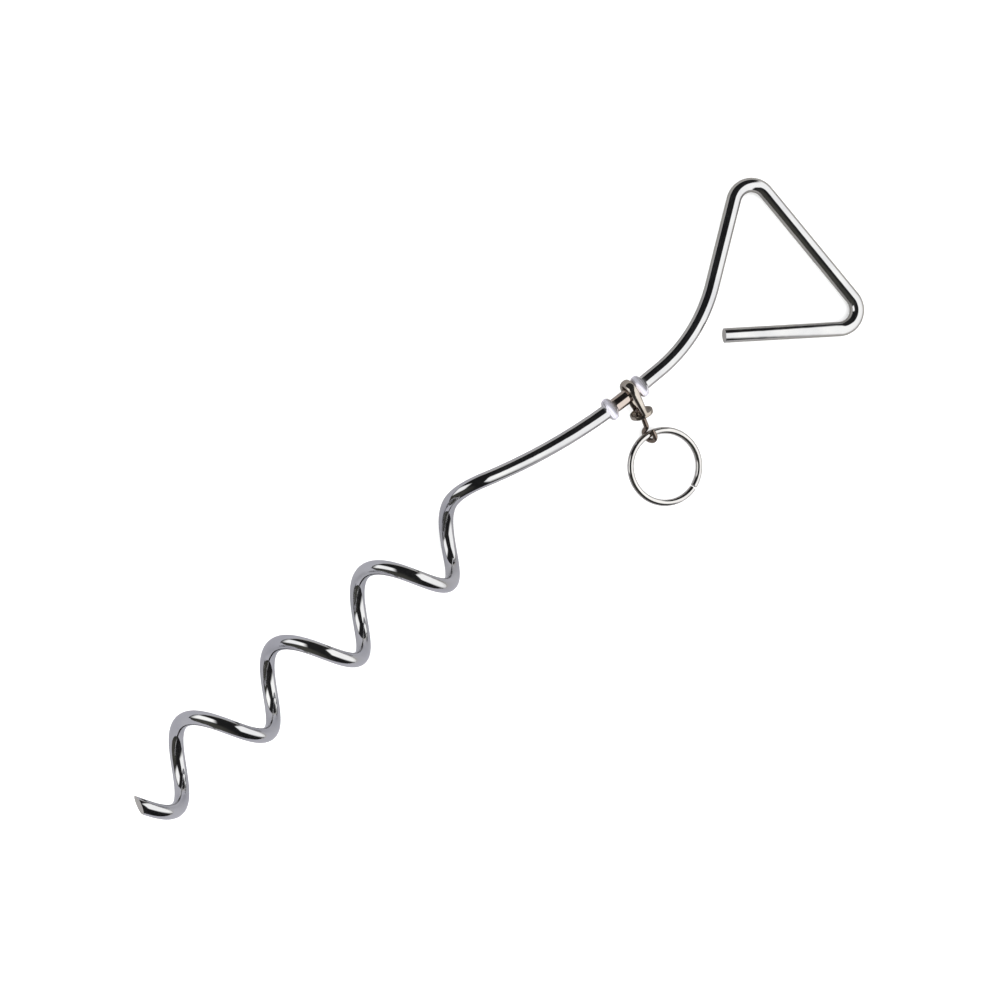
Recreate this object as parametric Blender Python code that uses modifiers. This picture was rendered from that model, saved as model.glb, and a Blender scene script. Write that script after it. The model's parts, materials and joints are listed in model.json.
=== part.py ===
"""Spiral ground stake: a bent steel rod with a corkscrew, a triangular handle and a swivel ring.

Metres, +Z up. The stake lies on the ground as it does when it is put down: on the
last turn of its coil and on both corners of its handle. +X runs from the point to
the handle. The origin is at the middle of the object's footprint, on the ground.

The rod is drawn in its own frame first: X along the axis of the coil from the point,
Y to the left, in the plane of the handle, and Z square to the handle.
"""
import math

import bmesh
import bpy
import numpy as np
from mathutils import Matrix, Vector

# ---- Rod ----
ROD_DIAMETER = 0.008

# Coil: the radius is from its axis to the middle of the rod.
COIL_RADIUS = 0.0169
COIL_PITCH = 0.0622
COIL_TURNS = 3.663
COIL_START = math.radians(95.5)  # where round the axis the point is, from +Y
POINT_CUT_TURN = math.radians(7.0)  # the point's cut, off square to the coil's axis

# Shaft: out of the coil by a tight bend, then a long bow that meets the coil's axis.
LEAD_OUT = 0.022  # length of the tight bend along the axis
LEAD_OUT_PULL = 0.0094  # how far the bend keeps each end's direction
SHAFT_BOW_LENGTH = 0.098
SHAFT_BOW_RISE = 0.01575  # how far from the axis the bow starts
SHAFT_BOW_ANGLE = math.radians(20.6)  # the bow's plane, from +Y towards +Z

# Handle: a triangle, symmetric about the coil's axis but for a slight skew.
NECK_BEYOND_BOW = 0.0438  # from the end of the bow to the corner where the handle starts
NECK_BEND_RADIUS = 0.088
HANDLE_HEIGHT = 0.0808
HANDLE_HALF_WIDTH = 0.0584
HANDLE_SKEW = 0.00245
HANDLE_CORNER_RADIUS = 0.0105
HANDLE_END_GAP = 0.014  # from the neck's corner to the cut end of the rod

# Ears: pressed out of the rod in two pairs, one each side of the swivel.
EAR_SPAN = 0.0130
EAR_LENGTH = 0.0046
EAR_THICKNESS = 0.0044
EAR_ROUNDING = 0.0015
EAR_SPACING = 0.0208

# ---- Swivel ----
SWIVEL_BEFORE_BOW_END = 0.0070
SWIVEL_TO_UPPER_EARS = 0.0076
BOW_THICKNESS = 0.0026
BOW_WIDTH = 0.0042  # along the rod
BOW_ROD_CLEARANCE = 0.0013
BOW_LEAN = math.radians(2.2)  # towards the handle, as the bow's loose fit on the rod lets it
BOW_BASE_INSIDE = 0.0120  # from the middle of the rod to the inside of the base
BOW_BASE_DIAMETER = 0.0130
BOW_BASE_THICKNESS = 0.0028
BOW_BASE_ROUNDING = 0.0007
BOW_BASE_TILT = math.radians(12.8)  # towards the point, out of square to the bow's legs

PIN_DIAMETER = 0.0028
PIN_SPIN = math.radians(-22.0)
PIN_CLEARANCE = 0.0004  # from the pin and its head to the bow's base
PIN_HEAD_DIAMETER = 0.0058
PIN_HEAD_HEIGHT = 0.0021
EYE_OUT = 0.0136  # from the middle of the base to the middle of the eye
EYE_RADIUS = 0.0038  # to the middle of the eye's wire
EYE_WIRE_DIAMETER = 0.0026

RING_RADIUS = 0.0198  # to the middle of the ring's wire
RING_WIRE_DIAMETER = 0.0036
RING_GAP = 0.0007  # the open butt joint
RING_GAP_OFFSET = 0.0005  # one end stands off the other by this much
RING_GAP_ANGLE = math.radians(151.0)  # from the eye, round the ring
RING_SKEW = math.radians(23.0)  # how the ring's wire crosses the eye
RING_IN_EYE = 0.0004  # the ring's wire sits off the eye's middle, towards the rod

# ---- How finely the shapes are drawn ----
COIL_STEPS_PER_TURN = 24
BEND_STEPS = 8
BOW_STEPS = 7
ROD_BEVEL_RESOLUTION = 4
WIRE_BEVEL_RESOLUTION = 2
RING_STEPS = 40
EYE_STEPS = 24
ROUND_STEPS = 24
WELD = 0.00001

ROD_RADIUS = ROD_DIAMETER / 2
COIL_LENGTH = COIL_PITCH * COIL_TURNS
COIL_TURN_LENGTH = math.hypot(COIL_PITCH, 2 * math.pi * COIL_RADIUS)
BOW_START_X = COIL_LENGTH + LEAD_OUT
BOW_END_X = BOW_START_X + SHAFT_BOW_LENGTH
NECK_X = BOW_END_X + NECK_BEYOND_BOW
SWIVEL_X = BOW_END_X - SWIVEL_BEFORE_BOW_END
UPPER_EARS_X = SWIVEL_X + SWIVEL_TO_UPPER_EARS
LOWER_EARS_X = UPPER_EARS_X - EAR_SPACING
BOW_RADIUS = ROD_RADIUS + BOW_ROD_CLEARANCE + BOW_THICKNESS / 2
BOW_FOOT = BOW_BASE_INSIDE + BOW_BASE_THICKNESS / 2
BOW_FOOT_WIDTH = BOW_BASE_DIAMETER / 2 - BOW_THICKNESS / 2
PIN_HEAD_SEAT = -BOW_BASE_THICKNESS / 2 - PIN_CLEARANCE


def new_collection(name):
    collection = bpy.data.collections.new(name)
    bpy.context.scene.collection.children.link(collection)
    return collection


def plated_steel(name, colour, roughness):
    material = bpy.data.materials.new(name)
    material.use_nodes = True
    shader = material.node_tree.nodes["Principled BSDF"]
    shader.inputs["Base Color"].default_value = (*colour, 1.0)
    shader.inputs["Metallic"].default_value = 1.0
    shader.inputs["Roughness"].default_value = roughness
    return material


# ---- The rod's line, in the rod's own frame ----
def coil_place(turns):
    angle = COIL_START + 2 * math.pi * turns
    return Vector((COIL_PITCH * turns, COIL_RADIUS * math.cos(angle), COIL_RADIUS * math.sin(angle)))


def coil_direction(turns):
    angle = COIL_START + 2 * math.pi * turns
    return Vector((COIL_PITCH / (2 * math.pi), -COIL_RADIUS * math.sin(angle),
                   COIL_RADIUS * math.cos(angle))).normalized()


def shaft_place(x):
    """Middle of the rod and its direction where the shaft bows in to the coil's axis."""
    radius = (SHAFT_BOW_LENGTH ** 2 + SHAFT_BOW_RISE ** 2) / (2 * SHAFT_BOW_RISE)
    turn = math.asin(min(max((BOW_END_X - x) / radius, 0.0), 1.0))
    outward = Vector((0.0, math.cos(SHAFT_BOW_ANGLE), math.sin(SHAFT_BOW_ANGLE)))
    place = Vector((x, 0.0, 0.0)) + outward * radius * (1 - math.cos(turn))
    direction = Vector((math.cos(turn), 0.0, 0.0)) - outward * math.sin(turn)
    return place, direction


def smooth_join(start, start_direction, end, end_direction, pull, steps):
    """Points between two ends, leaving and arriving in their directions."""
    first = start + start_direction * pull
    second = end - end_direction * pull
    places = []
    for step in range(1, steps):
        t = step / steps
        place = start * (1 - t) ** 3 + first * 3 * t * (1 - t) ** 2
        places.append(place + second * 3 * t * t * (1 - t) + end * t ** 3)
    return places


def rounded_corner(before, corner, after, radius, steps):
    """Points of the arc that rounds a corner."""
    back = (before - corner).normalized()
    ahead = (after - corner).normalized()
    half = back.angle(ahead) / 2
    centre = corner + (back + ahead).normalized() * radius / math.sin(half)
    start = corner + back * radius / math.tan(half) - centre
    axis = back.cross(ahead).normalized()
    sweep = -(math.pi - 2 * half)
    return [centre + Matrix.Rotation(sweep * step / steps, 3, axis) @ start for step in range(steps + 1)]


def handle_corners():
    neck = Vector((NECK_X, 0.0, 0.0))
    left = Vector((NECK_X + HANDLE_HEIGHT - HANDLE_SKEW, HANDLE_HALF_WIDTH, 0.0))
    right = Vector((NECK_X + HANDLE_HEIGHT + HANDLE_SKEW, -HANDLE_HALF_WIDTH, 0.0))
    return neck, left, right


def rod_line():
    """The middle of the rod from just before its point to the cut end of the handle."""
    steps = round(COIL_TURNS * COIL_STEPS_PER_TURN)
    stock = ROD_DIAMETER / COIL_TURN_LENGTH
    turns = [(COIL_TURNS + stock) * step / steps - stock for step in range(steps + 1)]
    line = [coil_place(turn) for turn in turns]
    bow = [shaft_place(BOW_START_X + SHAFT_BOW_LENGTH * step / BOW_STEPS) for step in range(BOW_STEPS + 1)]
    line += smooth_join(line[-1], coil_direction(COIL_TURNS), *bow[0], LEAD_OUT_PULL, BEND_STEPS)
    line += [place for place, direction in bow]
    neck, left, right = handle_corners()
    line += rounded_corner(line[-1], neck, left, NECK_BEND_RADIUS, BEND_STEPS)
    line += rounded_corner(neck, left, right, HANDLE_CORNER_RADIUS, BEND_STEPS)
    line += rounded_corner(left, right, neck, HANDLE_CORNER_RADIUS, BEND_STEPS)
    line.append(neck + (right - neck).normalized() * HANDLE_END_GAP)
    return line


def ground_normal(line):
    """Up, in the rod's frame: square to the plane through the lowest point of the coil
    and the lowest point of each handle corner."""
    coil = [place for place in line if place.x < COIL_LENGTH]
    left = [place for place in line if place.x > NECK_X and place.y > HANDLE_HALF_WIDTH / 4]
    right = [place for place in line if place.x > NECK_X and place.y < -HANDLE_HALF_WIDTH / 4]
    up = Vector((0.0, 0.0, 1.0))
    for _ in range(8):
        lows = [min(group, key=up.dot) for group in (coil, right, left)]
        up = (lows[1] - lows[0]).cross(lows[2] - lows[0]).normalized()
    return up, up.dot(lows[0]) - ROD_RADIUS


def frame_of(x_axis, y_axis, z_axis, place):
    matrix = Matrix((x_axis, y_axis, z_axis)).transposed().to_4x4()
    matrix.translation = place
    return matrix


# ---- Making objects ----
def link(name, mesh, collection):
    piece = bpy.data.objects.new(name, mesh)
    collection.objects.link(piece)
    return piece


def keep_primitive(name, collection):
    """Take the primitive just added into a collection, with its place in its mesh."""
    piece = bpy.context.object
    piece.name = name
    piece.data.transform(piece.matrix_basis)
    piece.matrix_basis = Matrix.Identity(4)
    for other in piece.users_collection:
        other.objects.unlink(piece)
    collection.objects.link(piece)
    return piece


def bar(name, line, diameter, resolution, collection):
    """Round bar along a line of points, as one closed mesh."""
    curve = bpy.data.curves.new(name, "CURVE")
    curve.dimensions = "3D"
    curve.bevel_depth = diameter / 2
    curve.bevel_resolution = resolution
    curve.use_fill_caps = True
    spline = curve.splines.new("POLY")
    spline.points.add(len(line) - 1)
    for point, place in zip(spline.points, line):
        point.co = (*place, 1.0)
    guide = link(name + "_line", curve, collection)
    bpy.context.view_layer.update()
    mesh = bpy.data.meshes.new_from_object(guide.evaluated_get(bpy.context.evaluated_depsgraph_get()))
    bpy.data.objects.remove(guide)
    bpy.data.curves.remove(curve)
    welded = bmesh.new()
    welded.from_mesh(mesh)
    bmesh.ops.remove_doubles(welded, verts=welded.verts, dist=WELD)
    welded.to_mesh(mesh)
    welded.free()
    return link(name, mesh, collection)


def combine(piece, tool, operation):
    """Join a tool to a piece, or cut it away, in the piece's own frame."""
    tool.parent = piece
    tool.hide_render = True
    tool.display_type = "WIRE"
    boolean = piece.modifiers.new(operation.lower() + "_" + tool.name, "BOOLEAN")
    boolean.operation = operation
    boolean.solver = "EXACT"
    boolean.object = tool


def finish(piece, material):
    piece.data.materials.clear()
    piece.data.materials.append(material)
    piece.data.shade_smooth()
    piece.data.set_sharp_from_angle(angle=math.radians(40))


def make_stake_rod(line, parts, tools):
    rod = bar("stake_rod", line, ROD_DIAMETER, ROD_BEVEL_RESOLUTION, parts)

    # The point is one slanting cut across the rod.
    block = 5 * ROD_DIAMETER
    normal = Vector((-math.cos(POINT_CUT_TURN), math.sin(POINT_CUT_TURN), 0.0))
    bpy.ops.mesh.primitive_cube_add(size=block, location=coil_place(0.0) + normal * block / 2,
                                    rotation=(0.0, 0.0, -POINT_CUT_TURN))
    combine(rod, keep_primitive("point_cut", tools), "DIFFERENCE")

    # Each pair of ears is one rounded bar across the rod.
    for name, x in (("lower_ears", LOWER_EARS_X), ("upper_ears", UPPER_EARS_X)):
        place, direction = shaft_place(x)
        heading = math.atan2(direction.y, direction.x)
        bpy.ops.mesh.primitive_cube_add(size=1.0)
        ears = keep_primitive(name, tools)
        ears.data.transform(Matrix.Diagonal((EAR_LENGTH, EAR_SPAN, EAR_THICKNESS, 1.0)))
        ears.matrix_basis = Matrix.Translation(place) @ Matrix.Rotation(heading, 4, "Z")
        rounding = ears.modifiers.new("rounding", "BEVEL")
        rounding.width = EAR_ROUNDING
        rounding.segments = 2
        combine(rod, ears, "UNION")
    return rod


def make_bow(parts, tools):
    """Bow in its own frame: Z out from the rod, X across the two legs, Y along the rod."""
    legs = Vector((BOW_FOOT_WIDTH, 0.0, BOW_FOOT)), Vector((-BOW_FOOT_WIDTH, 0.0, BOW_FOOT))
    turns = [math.pi * step / (2 * BEND_STEPS) for step in range(2 * BEND_STEPS + 1)]
    arch = [Vector((math.cos(turn), 0.0, -math.sin(turn))) * BOW_RADIUS for turn in turns]
    bow = bar("swivel_bow", [legs[0], *arch, legs[1]], BOW_THICKNESS, WIRE_BEVEL_RESOLUTION, parts)
    bow.data.transform(Matrix.Diagonal((1.0, BOW_WIDTH / BOW_THICKNESS, 1.0, 1.0)))

    bpy.ops.mesh.primitive_cylinder_add(vertices=ROUND_STEPS, radius=BOW_BASE_DIAMETER / 2,
                                        depth=BOW_BASE_THICKNESS, location=(0.0, 0.0, BOW_FOOT),
                                        rotation=(BOW_BASE_TILT, 0.0, 0.0))
    base = keep_primitive("bow_base", tools)
    edge = base.modifiers.new("edge", "BEVEL")
    edge.width = BOW_BASE_ROUNDING
    edge.segments = 1
    combine(bow, base, "UNION")

    bpy.ops.mesh.primitive_cylinder_add(vertices=ROUND_STEPS, radius=PIN_DIAMETER / 2 + PIN_CLEARANCE,
                                        depth=3 * BOW_BASE_THICKNESS, location=(0.0, 0.0, BOW_FOOT),
                                        rotation=(BOW_BASE_TILT, 0.0, 0.0))
    combine(bow, keep_primitive("pin_hole", tools), "DIFFERENCE")
    return bow


def make_eye_pin(parts, tools):
    """Headed pin, its own Z outward from the middle of the bow's base."""
    dome = [(PIN_HEAD_DIAMETER / 2 * math.sin(turn), PIN_HEAD_SEAT - PIN_HEAD_HEIGHT * math.cos(turn))
            for turn in (math.pi / 2 * step / 4 for step in range(4, -1, -1))]
    shank_end = EYE_OUT - EYE_RADIUS
    profile = [(0.0, shank_end), (PIN_DIAMETER / 2, shank_end), (PIN_DIAMETER / 2, PIN_HEAD_SEAT), *dome]
    mesh = bpy.data.meshes.new("eye_pin")
    edges = [(place, place + 1) for place in range(len(profile) - 1)]
    mesh.from_pydata([(radius, 0.0, height) for radius, height in profile], edges, [])
    pin = link("eye_pin", mesh, parts)
    turned = pin.modifiers.new("turned", "SCREW")
    turned.axis = "Z"
    turned.steps = ROUND_STEPS // 2
    turned.render_steps = turned.steps
    turned.use_merge_vertices = True
    turned.merge_threshold = WELD

    bpy.ops.mesh.primitive_torus_add(major_radius=EYE_RADIUS, minor_radius=EYE_WIRE_DIAMETER / 2,
                                     major_segments=EYE_STEPS, minor_segments=10,
                                     location=(0.0, 0.0, EYE_OUT), rotation=(math.pi / 2, 0.0, 0.0))
    combine(pin, keep_primitive("eye_loop", tools), "UNION")
    return pin


def ring_line():
    """The ring's wire in its own frame: the eye at the origin, the ring's middle on +Z,
    the wire running along Y at the eye, and the two cut ends a small gap apart."""
    half_gap = (RING_GAP + RING_WIRE_DIAMETER / 4) / 2 / RING_RADIUS
    places = []
    for step in range(RING_STEPS + 1):
        share = step / RING_STEPS
        turn = RING_GAP_ANGLE + half_gap + (2 * math.pi - 2 * half_gap) * share
        side = RING_GAP_OFFSET * (share - 0.5)
        places.append(Vector((side, RING_RADIUS * math.sin(turn), RING_RADIUS * (1 - math.cos(turn)))))
    eye_side = min(places, key=lambda place: place.z).x
    return [place - Vector((eye_side, 0.0, 0.0)) for place in places]


def lowest(matrix, places, up):
    return min(up.dot(matrix @ place) for place in places)


def drop_until(height_at, low, high):
    """The angle between low and high where height_at comes down to 0."""
    for _ in range(40):
        middle = (low + high) / 2
        if height_at(middle) > 0:
            low = middle
        else:
            high = middle
    return (low + high) / 2


def pose_empty(name, matrix, parent, collection):
    empty = bpy.data.objects.new(name, None)
    collection.objects.link(empty)
    empty.parent = parent
    empty.matrix_basis = matrix
    return empty


def swivel_frames(up, ground):
    """Frames of the bow, the pin and the ring in the rod's frame, with the eye and then
    the ring let down to the ground on the right-hand side of the rod."""
    place, along = shaft_place(SWIVEL_X)
    right = along.cross(up).normalized()
    turns = [2 * math.pi * step / EYE_STEPS for step in range(EYE_STEPS)]
    eye = [Vector((math.cos(turn), 0.0, math.sin(turn))) * EYE_RADIUS for turn in turns]

    def bow_at(hang):
        square = Matrix.Rotation(hang, 3, along) @ right
        out = square * math.cos(BOW_LEAN) + along * math.sin(BOW_LEAN)
        across = along.cross(square)
        return frame_of(across, out.cross(across), out, place)

    def pin_at(hang):
        base = Matrix.Translation((0.0, 0.0, BOW_FOOT)) @ Matrix.Rotation(BOW_BASE_TILT, 4, "X")
        return bow_at(hang) @ base @ Matrix.Rotation(PIN_SPIN, 4, "Z")

    def eye_at(hang):
        return pin_at(hang) @ Matrix.Translation((0.0, 0.0, EYE_OUT))

    hang = drop_until(lambda angle: lowest(eye_at(angle), eye, up) - EYE_WIRE_DIAMETER / 2 - ground,
                      0.0, math.radians(60))
    crossing = eye_at(hang) @ Matrix.Translation((0.0, 0.0, -RING_IN_EYE)) @ Matrix.Rotation(RING_SKEW, 4, "Z")
    wire = ring_line()
    swing = drop_until(lambda angle: lowest(crossing @ Matrix.Rotation(angle, 4, "Y"), wire, up)
                       - RING_WIRE_DIAMETER / 2 - ground, math.radians(-60), math.radians(60))
    return bow_at(hang), pin_at(hang), crossing @ Matrix.Rotation(swing, 4, "Y")


def centre_on_ground(root, pieces):
    """Move the whole object so that the middle of its footprint is the origin."""
    bpy.context.view_layer.update()
    depsgraph = bpy.context.evaluated_depsgraph_get()
    corners = []
    for piece in pieces:
        solid = piece.evaluated_get(depsgraph)
        corners += [solid.matrix_world @ vertex.co for vertex in solid.data.vertices]
    places = np.array(corners)
    low = places.min(axis=0)
    high = places.max(axis=0)
    middle = Vector(((low[0] + high[0]) / 2, (low[1] + high[1]) / 2, low[2]))
    root.matrix_basis = Matrix.Translation(-middle) @ root.matrix_basis
    bpy.context.view_layer.update()


def main():
    for old in list(bpy.data.objects):
        bpy.data.objects.remove(old)
    parts = new_collection("spiral_ground_stake")
    tools = new_collection("cutters_and_joins")
    chrome = plated_steel("chrome_plated_rod", (0.78, 0.78, 0.80), 0.08)
    nickel = plated_steel("nickel_plated_swivel", (0.72, 0.68, 0.64), 0.16)
    bright = plated_steel("bright_plated_ring", (0.80, 0.79, 0.78), 0.10)

    line = rod_line()
    up, ground = ground_normal(line)
    forward = (Vector((1.0, 0.0, 0.0)) - up * up.x).normalized()
    lying = Matrix((forward, up.cross(forward), up)).to_4x4()
    root = pose_empty("stake_on_ground", lying, None, tools)

    rod = make_stake_rod(line, parts, tools)
    rod.parent = root

    bow_frame, pin_frame, ring_frame = swivel_frames(up, ground)
    bow = make_bow(parts, tools)
    bow.parent = root
    bow.matrix_basis = bow_frame
    pin = make_eye_pin(parts, tools)
    pin.parent = root
    pin.matrix_basis = pin_frame
    ring = bar("tether_ring", ring_line(), RING_WIRE_DIAMETER, WIRE_BEVEL_RESOLUTION, parts)
    ring.parent = root
    ring.matrix_basis = ring_frame

    for piece, material in ((rod, chrome), (bow, nickel), (pin, nickel), (ring, bright)):
        finish(piece, material)
    centre_on_ground(root, [rod, bow, pin, ring])


main()
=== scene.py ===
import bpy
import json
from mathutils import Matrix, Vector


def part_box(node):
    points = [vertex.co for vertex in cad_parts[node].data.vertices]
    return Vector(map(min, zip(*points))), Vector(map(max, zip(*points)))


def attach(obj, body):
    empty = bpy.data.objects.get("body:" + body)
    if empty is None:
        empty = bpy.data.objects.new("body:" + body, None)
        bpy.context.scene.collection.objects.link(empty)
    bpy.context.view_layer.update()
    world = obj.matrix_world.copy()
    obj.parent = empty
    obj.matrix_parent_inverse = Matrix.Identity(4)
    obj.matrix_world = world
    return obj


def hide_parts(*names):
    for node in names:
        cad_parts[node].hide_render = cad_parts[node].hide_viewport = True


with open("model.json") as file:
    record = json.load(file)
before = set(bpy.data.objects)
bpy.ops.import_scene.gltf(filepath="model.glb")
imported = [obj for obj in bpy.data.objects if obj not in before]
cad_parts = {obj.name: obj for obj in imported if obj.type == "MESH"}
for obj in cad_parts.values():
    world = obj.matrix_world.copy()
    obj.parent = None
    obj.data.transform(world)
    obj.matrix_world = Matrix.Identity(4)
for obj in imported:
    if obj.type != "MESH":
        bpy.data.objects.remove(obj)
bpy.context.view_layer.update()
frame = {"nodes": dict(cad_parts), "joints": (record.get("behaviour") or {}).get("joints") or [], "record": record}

# Spiral ground stake, lying on the studio floor as it is put down: a bent rod of plated
# steel with a corkscrew and a triangular handle, and a ring on a swivel. Metres, +Z up.
import json
import math

import bmesh
import bpy
import numpy
from mathutils import Matrix, Vector, kdtree

MM = 0.001
MOST_SIDES = 12  # of any face but a cut end

# ---- Rod, in its own frame: X along the coil's axis from the point, Y left, Z square to
# the handle. These are the sizes that the CAD rod is bent to. ----
ROD_RADIUS = 4.0 * MM
COIL_RADIUS = 16.9 * MM
COIL_PITCH = 62.2 * MM
COIL_TURNS = 3.663
COIL_START = math.radians(95.5)
COIL_LENGTH = COIL_PITCH * COIL_TURNS
COIL_STEPS = 120  # along one turn
POINT_CUT_TURN = math.radians(19.0)
POINT_CUT_LEAN = math.radians(15.0)
POINT_STOCK = 16.0 * MM
POINT_LONGER = 2.4 * MM
POINT_REACH = 12.0 * MM
LEAD_OUT = 22.0 * MM
LEAD_OUT_PULL = 9.4 * MM
BOW_START_X = COIL_LENGTH + LEAD_OUT
BOW_END_X = BOW_START_X + 98.0 * MM
SHAFT_BOW_RISE = 15.75 * MM
SHAFT_BOW_ANGLE = math.radians(20.6)
NECK_X = BOW_END_X + 43.8 * MM
NECK_BEND_RADIUS = 88.0 * MM
HANDLE_HEIGHT = 80.8 * MM
HANDLE_HALF_WIDTH = 58.4 * MM
HANDLE_SKEW = 2.45 * MM
HANDLE_CORNER_RADIUS = 10.5 * MM
HANDLE_END_GAP = 14.0 * MM
HANDLE_STEP = 3.0 * MM
SWIVEL_X = BOW_END_X - 7.0 * MM
EAR_STATIONS = (SWIVEL_X + 7.6 * MM, SWIVEL_X - 13.2 * MM)

# Ears: the rod is nipped between two dies, so it is flat there and spreads sideways.
EAR_HALF_SPAN = 6.45 * MM
EAR_HALF_LENGTH = 2.6 * MM
NIP_DEPTH = 1.25 * MM
NIP_HALF_LENGTH = 3.4 * MM
PRESSED_HALF_LENGTH = 6.0 * MM  # nothing beyond this is moved
NEAR_EARS = 12.0 * MM
EAR_FINE_STEP = 0.15 * MM
EAR_FINE_STEPS = 28
EAR_FINE_REACH = 4.4 * MM

# ---- Swivel ----
BOW_THICKNESS = 2.6 * MM
BOW_WIDTH = 5.0 * MM
BOW_SLIP = 1.4 * MM
BOW_LEG_TAPER = 0.32
BOW_CLEARANCE = 1.3 * MM
BASE_DIAMETER = 13.0 * MM
BASE_THICKNESS = 2.8 * MM
BASE_DISH = 1.2 * MM
BASE_RIM = 1.5 * MM
BASE_EDGE = 0.75 * MM
BOW_MESH_SIZE = 0.16 * MM
PIN_DIAMETER = 2.8 * MM
PIN_HOLE_CLEARANCE = 0.4 * MM
PIN_HEAD_DIAMETER = 5.8 * MM
PIN_HEAD_HEIGHT = 2.1 * MM
PIN_HEAD_EDGE = 0.25 * MM
PIN_STEP = 0.5 * MM
EYE_OUT = 13.6 * MM
EYE_RADIUS = 3.8 * MM
EYE_WIRE = 2.7 * MM
EYE_START = math.radians(28)
EYE_OPEN = math.radians(46)
EYE_NECK = 1.9 * MM
EYE_STEPS = 72
RING_RADIUS = 19.8 * MM
RING_WIRE = 3.6 * MM
RING_GAP = 1.1 * MM
RING_GAP_OFFSET = 0.5 * MM
RING_GAP_ANGLE = math.radians(151)
RING_STEPS = 220
RING_END_EDGE = 0.3 * MM
RING_SKEW = math.radians(23)

# ---- Studio: camera in degrees, light levels linear ----
CAMERA_PLACE = (-0.15423, 0.23515, 1.60096)
CAMERA_TURN = (-2.745, -9.700, -38.275)
CAMERA_LENS = 108.0
FLOOR_SIZE = 12.0
FILL_LIGHT = (2.2, 2.2, 2.2, 1.0)
DARK_ROOM = (0.014, 0.014, 0.015, 1.0)
FAR_WALL = (0.070, 0.069, 0.060, 1.0)
TO_FAR_WALL = (-0.94, -0.08, 0.33)

# ---- Plating: frosted at the ears, and a painted brownish reflection by the swivel ----
# Painted reflection: the stretch of rod by the swivel gets this browner colour.
PAINTED_REFLECTION_COLOUR = "#BFB2A9"
PAINTED_REFLECTION_MIDDLE = 2.8 * MM  # from the swivel towards the point
PAINTED_REFLECTION_HALF_LENGTH = 9.0 * MM
FROSTED_PLATE = "#CDCBD6"
FROSTED_HALF_LENGTH = 4.2 * MM
FROSTED_ROUGHNESS = 0.30
FROSTED_METALLIC = 0.66


# ======== Modelling helpers ========
def deselect_all():
    if bpy.context.object and bpy.context.object.mode != "OBJECT":
        bpy.ops.object.mode_set(mode="OBJECT")
    bpy.ops.object.select_all(action="DESELECT")


def only(piece):
    """Make this the one selected, active object."""
    deselect_all()
    piece.select_set(True)
    bpy.context.view_layer.objects.active = piece


def settle(piece, place=Matrix.Identity(4)):
    """Put the object at the origin, with its place in its mesh."""
    piece.data.transform(place @ piece.matrix_basis)
    piece.matrix_basis = Matrix.Identity(4)
    piece.data.update()
    return piece


def merge_seams(piece):
    """Join vertices that lie on each other, and turn all faces outwards."""
    only(piece)
    bpy.ops.object.mode_set(mode="EDIT")
    bpy.ops.mesh.select_all(action="SELECT")
    bpy.ops.mesh.remove_doubles(threshold=0.002 * MM)
    bpy.ops.mesh.dissolve_degenerate(threshold=0.001 * MM)
    bpy.ops.mesh.normals_make_consistent(inside=False)
    bpy.ops.object.mode_set(mode="OBJECT")


def select_faces(piece, wanted):
    """In edit mode, select the faces that wanted() holds for and nothing else."""
    bpy.ops.mesh.select_all(action="DESELECT")
    work = bmesh.from_edit_mesh(piece.data)
    for face in work.faces:
        if wanted(face):
            face.select_set(True)
    bmesh.update_edit_mesh(piece.data)


def paint_cut_ends(piece, material):
    """Give the flat cut faces their own material; they are the only many-sided faces."""
    piece.data.materials.append(material)
    for face in piece.data.polygons:
        if len(face.vertices) > MOST_SIDES:
            face.material_index = len(piece.data.materials) - 1


def round_bar(name, line, radius, sides):
    """Round bar bent along a line of points, as one closed mesh."""
    deselect_all()
    bpy.ops.curve.primitive_bezier_curve_add()
    guide = bpy.context.object
    curve = guide.data
    curve.splines.clear()
    curve.dimensions = "3D"
    curve.bevel_depth = radius
    curve.bevel_resolution = sides // 2 - 2
    curve.use_fill_caps = True
    spline = curve.splines.new("POLY")
    spline.points.add(len(line) - 1)
    for point, place in zip(spline.points, line):
        point.co = (*place, 1.0)
    bpy.ops.object.convert(target="MESH")
    bar = bpy.context.object
    bar.name = name
    merge_seams(bar)
    return settle(bar)


def lay_along(piece, line):
    """Store where each vertex lies on the bar: metres along it, then the way round it."""
    tree = kdtree.KDTree(len(line))
    for index, place in enumerate(line):
        tree.insert(place, index)
    tree.balance()
    run = [0.0]
    for first, second in zip(line, line[1:]):
        run.append(run[-1] + (second - first).length)
    side = Vector((0.0, 0.0, 1.0))
    sides = []
    for index in range(len(line)):
        ahead = (line[min(index + 1, len(line) - 1)] - line[max(index - 1, 0)]).normalized()
        side = (side - ahead * side.dot(ahead)).normalized()
        sides.append((ahead, side, ahead.cross(side)))
    lay = piece.data.attributes.new("lay", "FLOAT_VECTOR", "POINT")
    for vertex, value in zip(piece.data.vertices, lay.data):
        _, index, _ = tree.find(vertex.co)
        ahead, up, left = sides[index]
        offset = vertex.co - line[index]
        value.vector = (run[index] + offset.dot(ahead), offset.dot(up), offset.dot(left))


def apply_modifiers(piece):
    only(piece)
    for modifier in list(piece.modifiers):
        bpy.ops.object.modifier_apply(modifier=modifier.name)


def boolean(piece, tool, operation):
    """Join the tool to the piece, or cut it away, and remove the tool."""
    change = piece.modifiers.new(operation.lower(), "BOOLEAN")
    change.operation = operation
    change.solver = "EXACT"
    change.object = tool
    apply_modifiers(piece)
    bpy.data.objects.remove(tool)
    merge_seams(piece)


def smooth(piece, angle=40):
    only(piece)
    bpy.ops.object.shade_smooth_by_angle(angle=math.radians(angle))


# ======== Materials ========
def from_hex(code):
    """sRGB hex colour as linear red, green, blue, alpha."""
    values = [int(code[place:place + 2], 16) / 255 for place in (1, 3, 5)]
    return (*[v / 12.92 if v <= 0.04045 else ((v + 0.055) / 1.055) ** 2.4 for v in values], 1.0)


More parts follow.
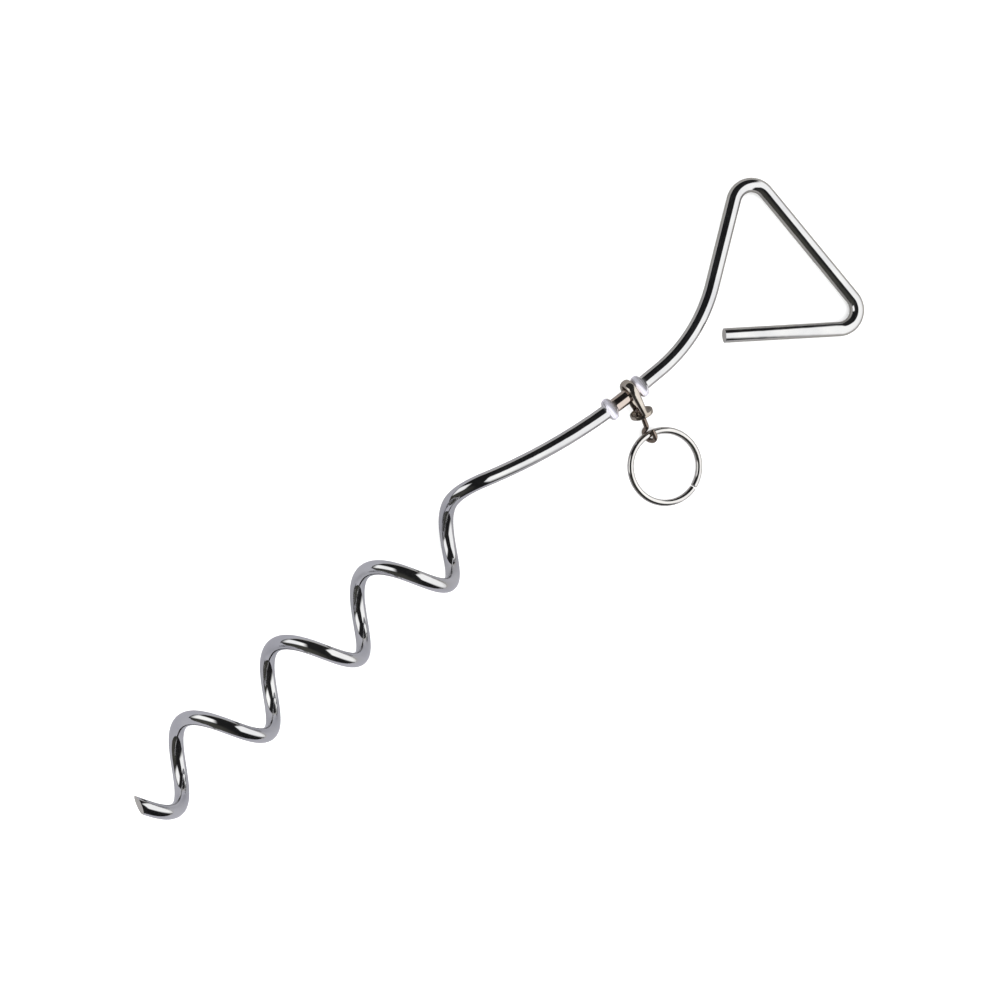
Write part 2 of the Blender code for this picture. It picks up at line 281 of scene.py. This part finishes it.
def add(tree, kind, sockets=None, **settings):
    """Add a node with its settings; a socket is given a value or another node's output."""
    node = tree.nodes.new(kind)
    for name, value in settings.items():
        setattr(node, name, value)
    for name, value in (sockets or {}).items():
        if isinstance(value, bpy.types.NodeSocket):
            tree.links.new(value, node.inputs[name])
        else:
            node.inputs[name].default_value = value
    return node


def new_material(name):
    material = bpy.data.materials.new(name)
    material.use_nodes = True
    tree = material.node_tree
    tree.nodes.clear()
    return material, tree


def plated(name, light, dark, rough_low, rough_high, coords, streak_depth, wave_depth, worn_and_painted_reflection=False):
    """Bright plating over drawn steel: the plate levels the drawing lines, but not quite.
    Faint lines run along the bar, with soft waves where it was bent, and patches that
    are a little duller where it has been handled. Where asked, the pressed ears are
    frosted, and the stretch by the swivel is painted browner: a painted reflection."""
    material, tree = new_material(name)
    if coords == "lay":
        place = add(tree, "ShaderNodeAttribute", attribute_name="lay").outputs["Vector"]
        stretch = (60.0, 2600.0, 2600.0)
    else:
        place = add(tree, "ShaderNodeTexCoord").outputs["Object"]
        stretch = (900.0, 900.0, 900.0)
    lines = add(tree, "ShaderNodeMapping", {"Vector": place, "Scale": stretch})
    drawn = add(tree, "ShaderNodeTexNoise", {"Vector": lines.outputs[0], "Scale": 1.0, "Detail": 3.0})
    waves = add(tree, "ShaderNodeTexNoise", {"Vector": place, "Scale": 130.0, "Detail": 1.0})
    patches = add(tree, "ShaderNodeTexNoise", {"Vector": place, "Scale": 45.0, "Detail": 4.0})
    tone = add(tree, "ShaderNodeMapRange", {"Value": patches.outputs[0], "From Min": 0.35,
                                            "From Max": 0.65})
    colour = add(tree, "ShaderNodeMix", {"Factor": tone.outputs[0], "A": from_hex(dark),
                                         "B": from_hex(light)}, data_type="RGBA")
    wear = add(tree, "ShaderNodeMath", {0: drawn.outputs[0], 1: patches.outputs[0]}, operation="MULTIPLY")
    rough = add(tree, "ShaderNodeMapRange", {"Value": wear.outputs[0], "From Min": 0.15, "From Max": 0.40,
                                             "To Min": rough_low, "To Max": rough_high})
    fine = add(tree, "ShaderNodeBump", {"Height": drawn.outputs[0], "Strength": 1.0,
                                        "Distance": streak_depth})
    soft = add(tree, "ShaderNodeBump", {"Height": waves.outputs[0], "Strength": 1.0,
                                        "Distance": wave_depth, "Normal": fine.outputs[0]})
    surface = {"Base Color": colour.outputs[2], "Metallic": 1.0, "Roughness": rough.outputs[0],
               "Normal": soft.outputs[0]}
    if worn_and_painted_reflection:
        # Y paints a browner reflection onto the stretch by the swivel; X frosts the ears.
        frost_and_reflection_at = add(tree, "ShaderNodeAttribute", attribute_name="wear")
        where = add(tree, "ShaderNodeSeparateXYZ", {"Vector": frost_and_reflection_at.outputs["Vector"]})
        painted_reflection = add(tree, "ShaderNodeMix", {"Factor": where.outputs["Y"], "A": colour.outputs[2],
                                             "B": from_hex(PAINTED_REFLECTION_COLOUR)}, data_type="RGBA")
        frosted = add(tree, "ShaderNodeMix", {"Factor": where.outputs["X"], "A": painted_reflection.outputs[2],
                                              "B": from_hex(FROSTED_PLATE)}, data_type="RGBA")
        grain = add(tree, "ShaderNodeMix", {"Factor": where.outputs["X"], "A": rough.outputs[0],
                                            "B": FROSTED_ROUGHNESS})
        solid = add(tree, "ShaderNodeMapRange", {"Value": where.outputs["X"], "To Min": 1.0,
                                                 "To Max": FROSTED_METALLIC})
        surface["Base Color"] = frosted.outputs[2]
        surface["Roughness"] = grain.outputs[0]
        surface["Metallic"] = solid.outputs[0]
    shader = add(tree, "ShaderNodeBsdfPrincipled", surface)
    add(tree, "ShaderNodeOutputMaterial", {"Surface": shader.outputs[0]})
    return material


def cut_steel():
    """Where the bar was cropped: a matt, torn grey face with faint shear lines."""
    material, tree = new_material("cropped_steel_face")
    place = add(tree, "ShaderNodeTexCoord").outputs["Object"]
    lines = add(tree, "ShaderNodeMapping", {"Vector": place, "Scale": (500.0, 500.0, 2500.0)})
    torn = add(tree, "ShaderNodeTexNoise", {"Vector": lines.outputs[0], "Scale": 1.0, "Detail": 5.0})
    colour = add(tree, "ShaderNodeMix", {"Factor": torn.outputs[0], "A": from_hex("#6E6C6A"),
                                         "B": from_hex("#B4B1AC")}, data_type="RGBA")
    relief = add(tree, "ShaderNodeBump", {"Height": torn.outputs[0], "Strength": 1.0, "Distance": 0.00008})
    shader = add(tree, "ShaderNodeBsdfPrincipled",
                 {"Base Color": colour.outputs[2], "Metallic": 0.6, "Roughness": 0.42,
                  "Normal": relief.outputs[0]})
    add(tree, "ShaderNodeOutputMaterial", {"Surface": shader.outputs[0]})
    return material


# ======== The rod ========
def coil_place(turns):
    """Middle of the rod on the coil, a number of turns from the point."""
    angle = COIL_START + 2 * math.pi * turns
    return Vector((COIL_PITCH * turns, COIL_RADIUS * math.cos(angle), COIL_RADIUS * math.sin(angle)))


def shaft_place(x):
    """Middle of the rod and its direction where the shaft bows in to the coil's axis."""
    length = BOW_END_X - BOW_START_X
    radius = (length ** 2 + SHAFT_BOW_RISE ** 2) / (2 * SHAFT_BOW_RISE)
    turn = math.asin(min(max((BOW_END_X - x) / radius, 0.0), 1.0))
    outward = Vector((0.0, math.cos(SHAFT_BOW_ANGLE), math.sin(SHAFT_BOW_ANGLE)))
    place = Vector((x, 0.0, 0.0)) + outward * radius * (1 - math.cos(turn))
    return place, Vector((math.cos(turn), 0.0, 0.0)) - outward * math.sin(turn)


def smooth_join(start, start_direction, end, end_direction, pull, steps):
    """Points between two ends, leaving and arriving in their directions."""
    first = start + start_direction * pull
    second = end - end_direction * pull
    places = []
    for step in range(1, steps):
        t = step / steps
        place = start * (1 - t) ** 3 + first * 3 * t * (1 - t) ** 2
        places.append(place + second * 3 * t * t * (1 - t) + end * t ** 3)
    return places


def rounded_corner(before, corner, after, radius, steps):
    """Points round the arc that replaces a corner, both ends of the arc among them."""
    back = (before - corner).normalized()
    ahead = (after - corner).normalized()
    half = back.angle(ahead) / 2
    centre = corner + (back + ahead).normalized() * radius / math.sin(half)
    start = corner + back * radius / math.tan(half) - centre
    axis = back.cross(ahead).normalized()
    sweep = -(math.pi - 2 * half)
    return [centre + Matrix.Rotation(sweep * step / steps, 3, axis) @ start for step in range(steps + 1)]


def straight(start, end, spacing):
    """Points between two places, the ends left out."""
    steps = max(1, round((end - start).length / spacing))
    return [start.lerp(end, step / steps) for step in range(1, steps)]


def rod_line():
    """Middle of the rod from the point to its cut end, closest together at the ears."""
    steps = round(COIL_TURNS * COIL_STEPS)
    stock = POINT_STOCK / math.hypot(COIL_PITCH, 2 * math.pi * COIL_RADIUS)
    line = [coil_place((COIL_TURNS + stock) * step / steps - stock) for step in range(steps + 1)]
    end_angle = COIL_START + 2 * math.pi * COIL_TURNS
    leaving = Vector((COIL_PITCH / (2 * math.pi), -COIL_RADIUS * math.sin(end_angle),
                      COIL_RADIUS * math.cos(end_angle))).normalized()
    stations = set()
    for x in EAR_STATIONS:
        for step in range(-EAR_FINE_STEPS, EAR_FINE_STEPS + 1):
            stations.add(round(x + EAR_FINE_STEP * step, 7))
    for step in range(99):
        x = BOW_START_X + (BOW_END_X - BOW_START_X) * step / 98
        if all(abs(x - ear) > EAR_FINE_REACH for ear in EAR_STATIONS):
            stations.add(x)
    shaft = [shaft_place(x)[0] for x in sorted(stations)]
    line += smooth_join(line[-1], leaving, *shaft_place(BOW_START_X), LEAD_OUT_PULL, 30)
    line += shaft
    neck = Vector((NECK_X, 0.0, 0.0))
    left = Vector((NECK_X + HANDLE_HEIGHT - HANDLE_SKEW, HANDLE_HALF_WIDTH, 0.0))
    right = Vector((NECK_X + HANDLE_HEIGHT + HANDLE_SKEW, -HANDLE_HALF_WIDTH, 0.0))
    for corner in (rounded_corner(Vector((BOW_START_X, 0.0, 0.0)), neck, left, NECK_BEND_RADIUS, 48),
                   rounded_corner(neck, left, right, HANDLE_CORNER_RADIUS, 30),
                   rounded_corner(left, right, neck, HANDLE_CORNER_RADIUS, 30)):
        line += straight(line[-1], corner[0], HANDLE_STEP) + corner
    end = neck + (right - neck).normalized() * HANDLE_END_GAP
    return line + straight(line[-1], end, HANDLE_STEP) + [end]


def mark_frost_and_painted_reflection(rod):
    """Store how frosted (X) the plating is at each vertex, and how much painted reflection (Y) lies on it."""
    wear = rod.data.attributes.new("wear", "FLOAT_VECTOR", "POINT")
    swivel, along = shaft_place(SWIVEL_X)
    for vertex, value in zip(rod.data.vertices, wear.data):
        frosted = 0.0
        for station in EAR_STATIONS:
            offset = vertex.co - shaft_place(station)[0]
            if offset.length < NEAR_EARS:
                near = max(0.0, 1 - abs(offset.dot(along)) / FROSTED_HALF_LENGTH)
                frosted = max(frosted, near * near * (3 - 2 * near))
        offset = vertex.co - swivel
        painted_reflection = abs(offset.dot(along) + PAINTED_REFLECTION_MIDDLE) < PAINTED_REFLECTION_HALF_LENGTH
        value.vector = (frosted, float(painted_reflection and offset.length < 2 * NEAR_EARS), 0.0)


def nip_ears(rod):
    """Press both pairs of ears out of the rod."""
    for station in EAR_STATIONS:
        place, along = shaft_place(station)
        side = Vector((-along.y, along.x, 0.0)).normalized()
        up = along.cross(side)
        for vertex in rod.data.vertices:
            offset = vertex.co - place
            run = offset.dot(along)
            if abs(run) > PRESSED_HALF_LENGTH or offset.length > NEAR_EARS:
                continue
            across = offset.dot(side)
            high = offset.dot(up)
            spread = math.sqrt(max(0.0, 1 - (run / EAR_HALF_LENGTH) ** 2)) ** 0.8
            nip = max(0.0, 1 - (run / NIP_HALF_LENGTH) ** 2) ** 2
            share = across / ROD_RADIUS
            across += (EAR_HALF_SPAN - ROD_RADIUS) * spread * share * abs(share) ** 0.5
            high *= 1 - nip * NIP_DEPTH / ROD_RADIUS
            vertex.co = place + along * run + side * across + up * high


def make_rod(rod_to_world, cropped_steel):
    line = rod_line()
    rod = round_bar("spiral_rod", line, ROD_RADIUS, 48)
    lay_along(rod, line)
    mark_frost_and_painted_reflection(rod)
    nip_ears(rod)
    # Bright chrome: a neutral mirror with crisp black and white streaks along the bar.
    rod.data.materials.append(plated("bright_chrome_plate", "#CECECD", "#C0C0C2", 0.045, 0.10, "lay",
                                     0.000004, 0.00006, worn_and_painted_reflection=True))

    # The point is one slanting crop across the bar.
    only(rod)
    normal = Vector((-math.cos(POINT_CUT_TURN), math.sin(POINT_CUT_TURN), math.tan(POINT_CUT_LEAN)))
    lowest = coil_place(0.0) - Vector((POINT_LONGER, 0.0, ROD_RADIUS))
    bpy.ops.object.mode_set(mode="EDIT")
    select_faces(rod, lambda face: all(vertex.co.x < POINT_REACH for vertex in face.verts))
    bpy.ops.mesh.bisect(plane_co=lowest, plane_no=normal, use_fill=True, clear_outer=True)
    bpy.ops.object.mode_set(mode="OBJECT")
    paint_cut_ends(rod, cropped_steel)
    smooth(rod, 35)
    settle(rod, rod_to_world)
    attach(rod, "stake")
    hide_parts("stake_rod")


# ======== Swivel ========
def frame_matrix(x_axis, y_axis, z_axis, place):
    matrix = Matrix((x_axis, y_axis, z_axis)).transposed().to_4x4()
    matrix.translation = place
    return matrix


def make_bow(bow_frame, foot, tilt):
    """Strap over the shaft, in one piece with its dished base, which has a hole for the pin."""
    radius = ROD_RADIUS + BOW_CLEARANCE + BOW_THICKNESS / 2
    width = BASE_DIAMETER / 2 - BOW_THICKNESS / 2
    turns = [math.pi * step / 40 for step in range(41)]
    arch = [Vector((math.cos(turn), 0.0, -math.sin(turn))) * radius for turn in turns]
    line = [Vector((width, 0.0, foot)), *straight(Vector((width, 0.0, foot)), arch[0], MM), *arch,
            *straight(arch[-1], Vector((-width, 0.0, foot)), MM), Vector((-width, 0.0, foot))]
    bow = round_bar("swivel_bow_strap", line, BOW_THICKNESS / 2, 24)
    settle(bow, Matrix.Diagonal((1.0, BOW_WIDTH / BOW_THICKNESS, 1.0, 1.0)))
    # Its legs narrow towards the base. It hangs a little askew on the shaft: slipped along
    # it by BOW_SLIP, and leaning back.
    for vertex in bow.data.vertices:
        down = vertex.co.z / foot
        vertex.co.y *= 1 - BOW_LEG_TAPER * min(max(down, 0.0), 1.0)
        vertex.co.y += BOW_SLIP * (1 - down)
    base_place = Matrix.Translation((0.0, 0.0, foot)) @ Matrix.Rotation(tilt, 4, "X")

    deselect_all()
    bpy.ops.mesh.primitive_cylinder_add(vertices=96, radius=BASE_DIAMETER / 2, depth=BASE_THICKNESS)
    base = bpy.context.object
    bpy.ops.object.mode_set(mode="EDIT")
    select_faces(base, lambda face: face.normal.z < -0.9)
    bpy.ops.mesh.inset(thickness=BASE_RIM)
    bpy.ops.transform.translate(value=(0.0, 0.0, BASE_DISH))
    bpy.ops.object.mode_set(mode="OBJECT")
    rim = base.modifiers.new("rim", "BEVEL")
    rim.width = BASE_EDGE
    rim.segments = 4
    rim.limit_method = "ANGLE"
    apply_modifiers(base)
    settle(base, base_place)
    boolean(bow, base, "UNION")

    deselect_all()
    bpy.ops.mesh.primitive_cylinder_add(vertices=64, radius=PIN_DIAMETER / 2 + PIN_HOLE_CLEARANCE,
                                        depth=3 * BASE_THICKNESS)
    hole = settle(bpy.context.object, base_place)
    boolean(bow, hole, "DIFFERENCE")

    # The formed strap has no sharp corner left: its inside corners run together.
    flow = bow.modifiers.new("flow", "REMESH")
    flow.mode = "VOXEL"
    flow.voxel_size = BOW_MESH_SIZE
    flow.use_smooth_shade = True
    soften = bow.modifiers.new("soften", "SMOOTH")
    soften.factor = 0.6
    soften.iterations = 8
    apply_modifiers(bow)
    smooth(bow, 60)
    settle(bow, bow_frame)
    bow.data.materials.clear()
    # Bright nickel: a warmer white than chrome, and here a little duller.
    bow.data.materials.append(plated("bright_nickel_plate", "#CDC7BE", "#A39A8F", 0.08, 0.16, "object",
                                     0.00001, 0.00012))
    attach(bow, "bow")
    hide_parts("swivel_bow")


def make_pin(pin_frame):
    """Headed pin; past the base its wire is bent round into the eye, and stops just short
    of the shank."""
    seat = -BASE_THICKNESS / 2 - PIN_HOLE_CLEARANCE
    loop = []
    start = -math.pi / 2 + EYE_START
    stop = start + 2 * math.pi - EYE_START - EYE_OPEN
    for step in range(EYE_STEPS + 1):
        turn = start + (stop - start) * step / EYE_STEPS
        loop.append(Vector((EYE_RADIUS * math.cos(turn), 0.0, EYE_OUT + EYE_RADIUS * math.sin(turn))))
    shank_end = Vector((0.0, 0.0, EYE_OUT - EYE_RADIUS - EYE_NECK))
    entering = Vector((-math.sin(start), 0.0, math.cos(start)))
    line = [Vector((0.0, 0.0, seat - PIN_STEP))]
    line += straight(line[0], shank_end, PIN_STEP) + [shank_end]
    line += smooth_join(shank_end, Vector((0.0, 0.0, 1.0)), loop[0], entering, MM, 12) + loop
    pin = round_bar("eye_pin_wire", line, EYE_WIRE / 2, 28)

    deselect_all()
    bpy.ops.mesh.primitive_uv_sphere_add(segments=48, ring_count=32, radius=PIN_HEAD_DIAMETER / 2)
    head = bpy.context.object
    head.scale = (1.0, 1.0, PIN_HEAD_HEIGHT / (PIN_HEAD_DIAMETER / 2))
    bpy.ops.object.transform_apply(scale=True)
    bpy.ops.object.mode_set(mode="EDIT")
    bpy.ops.mesh.select_all(action="SELECT")
    bpy.ops.mesh.bisect(plane_co=(0.0, 0.0, -0.12 * MM), plane_no=(0.0, 0.0, 1.0), use_fill=True,
                        clear_outer=True)
    bpy.ops.object.mode_set(mode="OBJECT")
    edge = head.modifiers.new("edge", "BEVEL")
    edge.width = PIN_HEAD_EDGE
    edge.segments = 3
    edge.limit_method = "ANGLE"
    apply_modifiers(head)
    settle(head, Matrix.Translation((0.0, 0.0, seat)))
    boolean(pin, head, "UNION")
    smooth(pin, 40)
    settle(pin, pin_frame)
    pin.data.materials.clear()
    # Nickel painted darker and browner than the strap: painted shade for the dark it reflects. Softer than the
    # strap too.
    pin.data.materials.append(plated("pin_nickel_painted_shade", "#A2948A", "#6E6259", 0.12, 0.22, "object",
                                     0.00001, 0.00008))
    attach(pin, "pin")
    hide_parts("eye_pin")


def make_ring(ring_frame, cropped_steel):
    """Ring of round wire: the eye at the origin, the middle on +Z, its two ends butted."""
    half_gap = RING_GAP / 2 / RING_RADIUS
    line = []
    for step in range(RING_STEPS + 1):
        share = step / RING_STEPS
        turn = RING_GAP_ANGLE + half_gap + (2 * math.pi - 2 * half_gap) * share
        side = RING_GAP_OFFSET * (share - 0.5)
        line.append(Vector((side, RING_RADIUS * math.sin(turn), RING_RADIUS * (1 - math.cos(turn)))))
    at_eye = min(line, key=lambda place: place.z).x
    line = [place - Vector((at_eye, 0.0, 0.0)) for place in line]
    ring = round_bar("butted_ring", line, RING_WIRE / 2, 36)
    lay_along(ring, line)
    trim = ring.modifiers.new("trim", "BEVEL")
    trim.width = RING_END_EDGE
    trim.segments = 2
    trim.limit_method = "ANGLE"
    trim.angle_limit = math.radians(60)
    apply_modifiers(ring)
    smooth(ring, 40)
    settle(ring, ring_frame)
    # Polished plate on the wire: the brightest and smoothest of the four.
    ring.data.materials.append(plated("polished_ring_plate", "#D6D4D1", "#C4C2C0", 0.04, 0.09, "lay",
                                      0.000003, 0.00002))
    paint_cut_ends(ring, cropped_steel)
    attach(ring, "ring")
    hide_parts("tether_ring")


# ======== Studio ========
def make_floor():
    """Plain pale floor. Glossy rays see it in a painted grey, cooler towards -X and warmer towards +X: a painted
    reflection in the plating.
    """
    deselect_all()
    bpy.ops.mesh.primitive_plane_add(size=FLOOR_SIZE, location=(0.0, 0.0, 0.0))
    floor = bpy.context.object
    floor.name = "studio_floor"
    material, tree = new_material("pale_floor")
    path = add(tree, "ShaderNodeLightPath")
    place = add(tree, "ShaderNodeTexCoord").outputs["Object"]
    parts = add(tree, "ShaderNodeSeparateXYZ", {"Vector": place})
    along_x = add(tree, "ShaderNodeMapRange", {"Value": parts.outputs["X"], "From Min": -0.05,
                                               "From Max": 0.20})
    painted_reflection_grey = add(tree, "ShaderNodeMix", {"Factor": along_x.outputs[0], "A": from_hex("#95959B"),
                                           "B": from_hex("#8D8B88")}, data_type="RGBA")
    colour = add(tree, "ShaderNodeMix", {"Factor": path.outputs["Is Glossy Ray"], "A": from_hex("#F4F4F4"),
                                         "B": painted_reflection_grey.outputs[2]}, data_type="RGBA")
    shader = add(tree, "ShaderNodeBsdfDiffuse", {"Color": colour.outputs[2]})
    add(tree, "ShaderNodeOutputMaterial", {"Surface": shader.outputs[0]})
    floor.data.materials.append(material)


def make_softbox(name, place, azimuth, tilt, width, height, strength, edge):
    """Soft lamp: bright in the middle, fading out towards its edges. It faces away from
    the azimuth given, and leans forward by the tilt."""
    around, up = math.radians(azimuth), math.radians(tilt)
    away = Vector((math.cos(up) * math.cos(around), math.cos(up) * math.sin(around), math.sin(up)))
    deselect_all()
    bpy.ops.mesh.primitive_plane_add(size=2.0, location=place)
    lamp = bpy.context.object
    lamp.name = name
    lamp.rotation_euler = away.to_track_quat("Z", "Y").to_euler()
    lamp.scale = (width / 2, height / 2, 1.0)
    material, tree = new_material(name + "_cloth")
    place = add(tree, "ShaderNodeTexCoord").outputs["Object"]
    parts = add(tree, "ShaderNodeSeparateXYZ", {"Vector": place})
    fade = []
    for axis in ("X", "Y"):
        reach = add(tree, "ShaderNodeMath", {0: parts.outputs[axis]}, operation="ABSOLUTE")
        fade.append(add(tree, "ShaderNodeMapRange", {"Value": reach.outputs[0], "From Min": 1.0 - edge,
                                                     "From Max": 1.0, "To Min": 1.0, "To Max": 0.0},
                        interpolation_type="SMOOTHSTEP"))
    both = add(tree, "ShaderNodeMath", {0: fade[0].outputs[0], 1: fade[1].outputs[0]}, operation="MULTIPLY")
    glow = add(tree, "ShaderNodeMath", {0: both.outputs[0], 1: strength}, operation="MULTIPLY")
    light = add(tree, "ShaderNodeEmission", {"Strength": glow.outputs[0]})
    add(tree, "ShaderNodeOutputMaterial", {"Surface": light.outputs[0]})
    lamp.data.materials.append(material)
    lamp.visible_camera = False
    lamp.visible_shadow = False
    lamp.visible_diffuse = False


def make_surround():
    """White backdrop to the eye, an even fill on the floor, and a dark room in the plating."""
    world = bpy.data.worlds.new("studio_surround")
    bpy.context.scene.world = world
    world.use_nodes = True
    tree = world.node_tree
    tree.nodes.clear()
    path = add(tree, "ShaderNodeLightPath")
    place = add(tree, "ShaderNodeTexCoord").outputs["Generated"]
    toward = add(tree, "ShaderNodeVectorMath", {0: place, 1: TO_FAR_WALL}, operation="DOT_PRODUCT")
    wall = add(tree, "ShaderNodeMapRange", {"Value": toward.outputs["Value"], "From Min": 0.55,
                                            "From Max": 1.0, "To Min": 0.0, "To Max": 1.0},
               interpolation_type="SMOOTHSTEP")
    room = add(tree, "ShaderNodeMix", {"Factor": wall.outputs[0], "A": DARK_ROOM, "B": FAR_WALL},
               data_type="RGBA")
    fill = add(tree, "ShaderNodeMix", {"Factor": path.outputs["Is Glossy Ray"], "A": FILL_LIGHT,
                                       "B": room.outputs[2]}, data_type="RGBA")
    light = add(tree, "ShaderNodeBackground", {"Color": fill.outputs[2]})
    add(tree, "ShaderNodeOutputWorld", {"Surface": light.outputs[0]})


def make_camera():
    """Long lens, nearly overhead, with no depth of field."""
    data = bpy.data.cameras.new("product_camera")
    data.lens = CAMERA_LENS
    data.sensor_width = 36.0
    camera = bpy.data.objects.new("product_camera", data)
    bpy.context.scene.collection.objects.link(camera)
    camera.location = CAMERA_PLACE
    camera.rotation_euler = [math.radians(turn) for turn in CAMERA_TURN]
    bpy.context.scene.camera = camera


# ======== Places from the frame ========
def joint(name):
    """Place and axis of a joint of the frame."""
    found = next(one for one in frame["joints"] if one["name"] == name)
    return Vector(found["pos_m"]), Vector(found["axis"]).normalized()


mounts = {one["name"]: one for one in frame["record"]["mounts"]}
coil_end = Vector(mounts["ground_line"]["pos_m"])
rod_x = Vector(mounts["ground_line"]["axis"]).normalized()
to_end = Vector(mounts["handle_end"]["pos_m"]) - coil_end
rod_y = -(to_end - rod_x * to_end.dot(rod_x)).normalized()
rod_to_world = frame_matrix(rod_x, rod_y, rod_x.cross(rod_y), coil_end - rod_x * COIL_LENGTH)

swivel_place, along = joint("bow_turn")
pin_place, pin_axis = joint("pin_spin")
ring_place, ring_axis = joint("ring_swing")

out = (pin_place - swivel_place).normalized()
across = along.cross(out).normalized()
bow_frame = frame_matrix(across, out.cross(across), out, swivel_place)
base_tilt = math.atan2(out.cross(pin_axis).dot(across), out.dot(pin_axis))

eye_side = Matrix.Rotation(-RING_SKEW, 3, pin_axis) @ ring_axis
pin_frame = frame_matrix(eye_side.cross(pin_axis), eye_side, pin_axis, pin_place)

ring_mesh = frame["nodes"]["tether_ring"].data
points = numpy.array([vertex.co for vertex in ring_mesh.vertices])
ring_normal = Vector(numpy.linalg.svd(points - points.mean(axis=0), full_matrices=False)[2][2])
low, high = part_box("tether_ring")
ring_out = ring_normal.cross(ring_axis).normalized()
if ring_out.dot((Vector(low) + Vector(high)) / 2 - ring_place) < 0:
    ring_out = -ring_out
ring_frame = frame_matrix(ring_axis.cross(ring_out), ring_axis, ring_out, ring_place)

# ======== Build ========
bpy.context.scene.view_settings.view_transform = "Standard"
make_camera()
make_surround()
make_floor()
make_softbox("right_softbox", (0.345, -0.10, 0.44), azimuth=319, tilt=0, width=0.95, height=1.15,
             strength=1.50, edge=0.40)
make_softbox("left_softbox", (-0.29, 0.333, 0.235), azimuth=131, tilt=28, width=0.44, height=0.52,
             strength=1.55, edge=0.50)

cropped_steel = cut_steel()
make_rod(rod_to_world, cropped_steel)
make_bow(bow_frame, (pin_place - swivel_place).length, base_tilt)
make_pin(pin_frame)
make_ring(ring_frame, cropped_steel)
